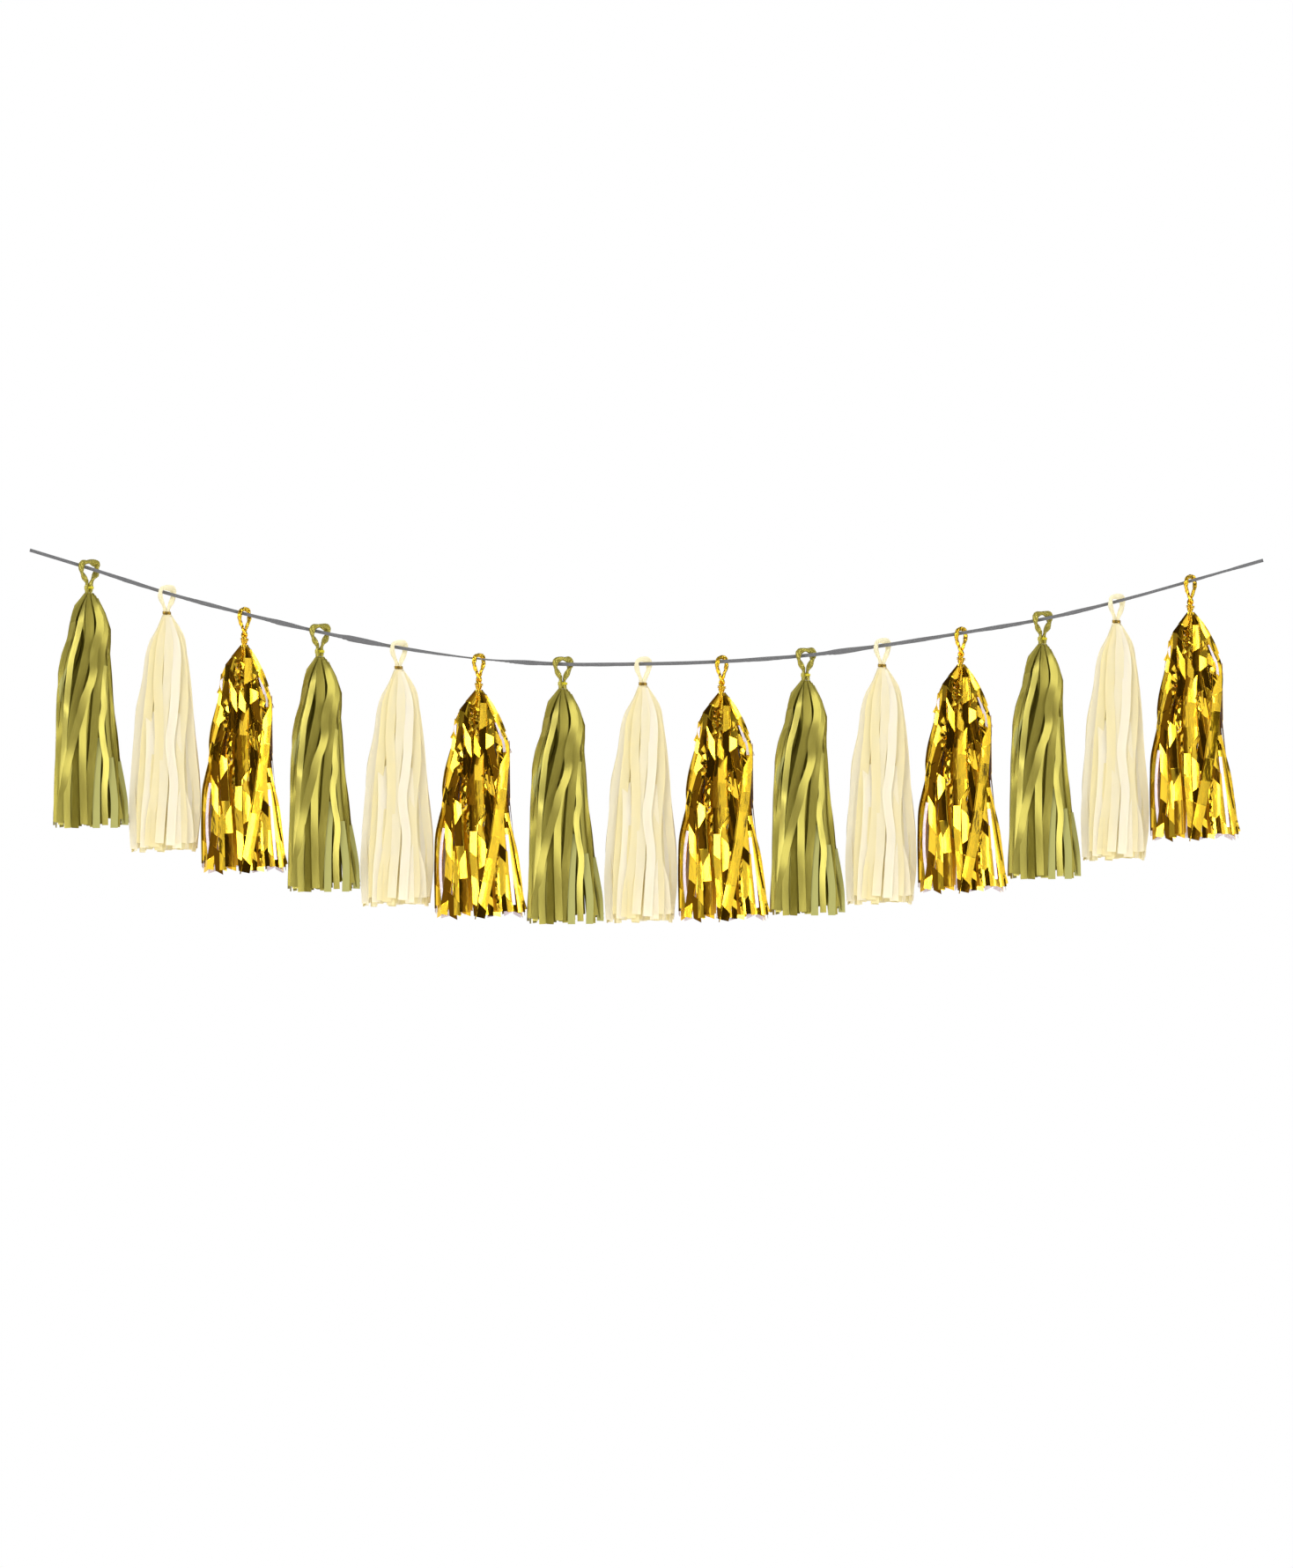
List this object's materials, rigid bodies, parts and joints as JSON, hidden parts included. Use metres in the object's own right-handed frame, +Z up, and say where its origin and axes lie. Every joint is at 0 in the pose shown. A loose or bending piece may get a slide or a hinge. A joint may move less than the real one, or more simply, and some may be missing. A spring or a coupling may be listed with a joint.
{
  "type": "paper tassel garland",
  "caption": "Party garland: fringed tassels of satin tissue, cream tissue and gold foil hang by twisted loops on a sagging flat ribbon.",
  "frame": {"origin": "the left fastening point: on the ribbon's flat back face, 10 mm in from its left cut end", "axes": "+X along the span towards the right end, +Y back towards the wall, so the front faces -Y, and +Z up"},
  "size_m": [1.5006, 0.0773, 0.4531],
  "materials": {
    "grey_ribbon": "matt woven ribbon",
    "satin_tissue": "olive gold satin tissue",
    "cream_tissue": "soft matt tissue",
    "gold_foil": "mirror-like metallised film",
    "yellow_string": "glossy string",
    "gold_wire": "bright drawn wire"
  },
  "bodies": {
    "ribbon": {"ribbon": "grey_ribbon"},
    "tassel_01": {"tassel_01_loop": "satin_tissue", "tassel_01_tie": "yellow_string", "tassel_01_fringe": "satin_tissue"},
    "tassel_02": {"tassel_02_loop": "cream_tissue", "tassel_02_tie": "gold_wire", "tassel_02_fringe": "cream_tissue"},
    "tassel_03": {"tassel_03_loop": "gold_foil", "tassel_03_tie": "gold_foil", "tassel_03_fringe": "gold_foil"},
    "tassel_04": {"tassel_04_loop": "satin_tissue", "tassel_04_tie": "yellow_string", "tassel_04_fringe": "satin_tissue"},
    "tassel_05": {"tassel_05_loop": "cream_tissue", "tassel_05_tie": "gold_wire", "tassel_05_fringe": "cream_tissue"},
    "tassel_06": {"tassel_06_loop": "gold_foil", "tassel_06_tie": "gold_foil", "tassel_06_fringe": "gold_foil"},
    "tassel_07": {"tassel_07_loop": "satin_tissue", "tassel_07_tie": "yellow_string", "tassel_07_fringe": "satin_tissue"},
    "tassel_08": {"tassel_08_loop": "cream_tissue", "tassel_08_tie": "gold_wire", "tassel_08_fringe": "cream_tissue"},
    "tassel_09": {"tassel_09_loop": "gold_foil", "tassel_09_tie": "gold_foil", "tassel_09_fringe": "gold_foil"},
    "tassel_10": {"tassel_10_loop": "satin_tissue", "tassel_10_tie": "yellow_string", "tassel_10_fringe": "satin_tissue"},
    "tassel_11": {"tassel_11_loop": "cream_tissue", "tassel_11_tie": "gold_wire", "tassel_11_fringe": "cream_tissue"},
    "tassel_12": {"tassel_12_loop": "gold_foil", "tassel_12_tie": "gold_foil", "tassel_12_fringe": "gold_foil"},
    "tassel_13": {"tassel_13_loop": "satin_tissue", "tassel_13_tie": "yellow_string", "tassel_13_fringe": "satin_tissue"},
    "tassel_14": {"tassel_14_loop": "cream_tissue", "tassel_14_tie": "gold_wire", "tassel_14_fringe": "cream_tissue"},
    "tassel_15": {"tassel_15_loop": "gold_foil", "tassel_15_tie": "gold_foil", "tassel_15_fringe": "gold_foil"}
  },
  "joints": [
    {"name": "tassel_01_swing", "type": "hinge", "parent": "ribbon", "child": "tassel_01", "pos_m": [0.062, -0.00075, -0.01904], "axis": [1, 0, 0], "range_deg": [-75, 75]},
    {"name": "tassel_02_swing", "type": "hinge", "parent": "ribbon", "child": "tassel_02", "pos_m": [0.1565, -0.00075, -0.0492], "axis": [1, 0, 0], "range_deg": [-75, 75]},
    {"name": "tassel_03_swing", "type": "hinge", "parent": "ribbon", "child": "tassel_03", "pos_m": [0.251, -0.00075, -0.07436], "axis": [1, 0, 0], "range_deg": [-75, 75]},
    {"name": "tassel_04_swing", "type": "hinge", "parent": "ribbon", "child": "tassel_04", "pos_m": [0.3425, -0.00075, -0.09646], "axis": [1, 0, 0], "range_deg": [-75, 75]},
    {"name": "tassel_05_swing", "type": "hinge", "parent": "ribbon", "child": "tassel_05", "pos_m": [0.4385, -0.00075, -0.11551], "axis": [1, 0, 0], "range_deg": [-75, 75]},
    {"name": "tassel_06_swing", "type": "hinge", "parent": "ribbon", "child": "tassel_06", "pos_m": [0.536, -0.00075, -0.12913], "axis": [1, 0, 0], "range_deg": [-75, 75]},
    {"name": "tassel_07_swing", "type": "hinge", "parent": "ribbon", "child": "tassel_07", "pos_m": [0.638, -0.00075, -0.13566], "axis": [1, 0, 0], "range_deg": [-75, 75]},
    {"name": "tassel_08_swing", "type": "hinge", "parent": "ribbon", "child": "tassel_08", "pos_m": [0.7355, -0.00075, -0.13538], "axis": [1, 0, 0], "range_deg": [-75, 75]},
    {"name": "tassel_09_swing", "type": "hinge", "parent": "ribbon", "child": "tassel_09", "pos_m": [0.8315, -0.00075, -0.13246], "axis": [1, 0, 0], "range_deg": [-75, 75]},
    {"name": "tassel_10_swing", "type": "hinge", "parent": "ribbon", "child": "tassel_10", "pos_m": [0.9335, -0.00075, -0.1251], "axis": [1, 0, 0], "range_deg": [-75, 75]},
    {"name": "tassel_11_swing", "type": "hinge", "parent": "ribbon", "child": "tassel_11", "pos_m": [1.0265, -0.00075, -0.11314], "axis": [1, 0, 0], "range_deg": [-75, 75]},
    {"name": "tassel_12_swing", "type": "hinge", "parent": "ribbon", "child": "tassel_12", "pos_m": [1.1225, -0.00075, -0.09799], "axis": [1, 0, 0], "range_deg": [-75, 75]},
    {"name": "tassel_13_swing", "type": "hinge", "parent": "ribbon", "child": "tassel_13", "pos_m": [1.2215, -0.00075, -0.08103], "axis": [1, 0, 0], "range_deg": [-75, 75]},
    {"name": "tassel_14_swing", "type": "hinge", "parent": "ribbon", "child": "tassel_14", "pos_m": [1.3115, -0.00075, -0.05963], "axis": [1, 0, 0], "range_deg": [-75, 75]},
    {"name": "tassel_15_swing", "type": "hinge", "parent": "ribbon", "child": "tassel_15", "pos_m": [1.4015, -0.00075, -0.03461], "axis": [1, 0, 0], "range_deg": [-75, 75]}
  ]
}
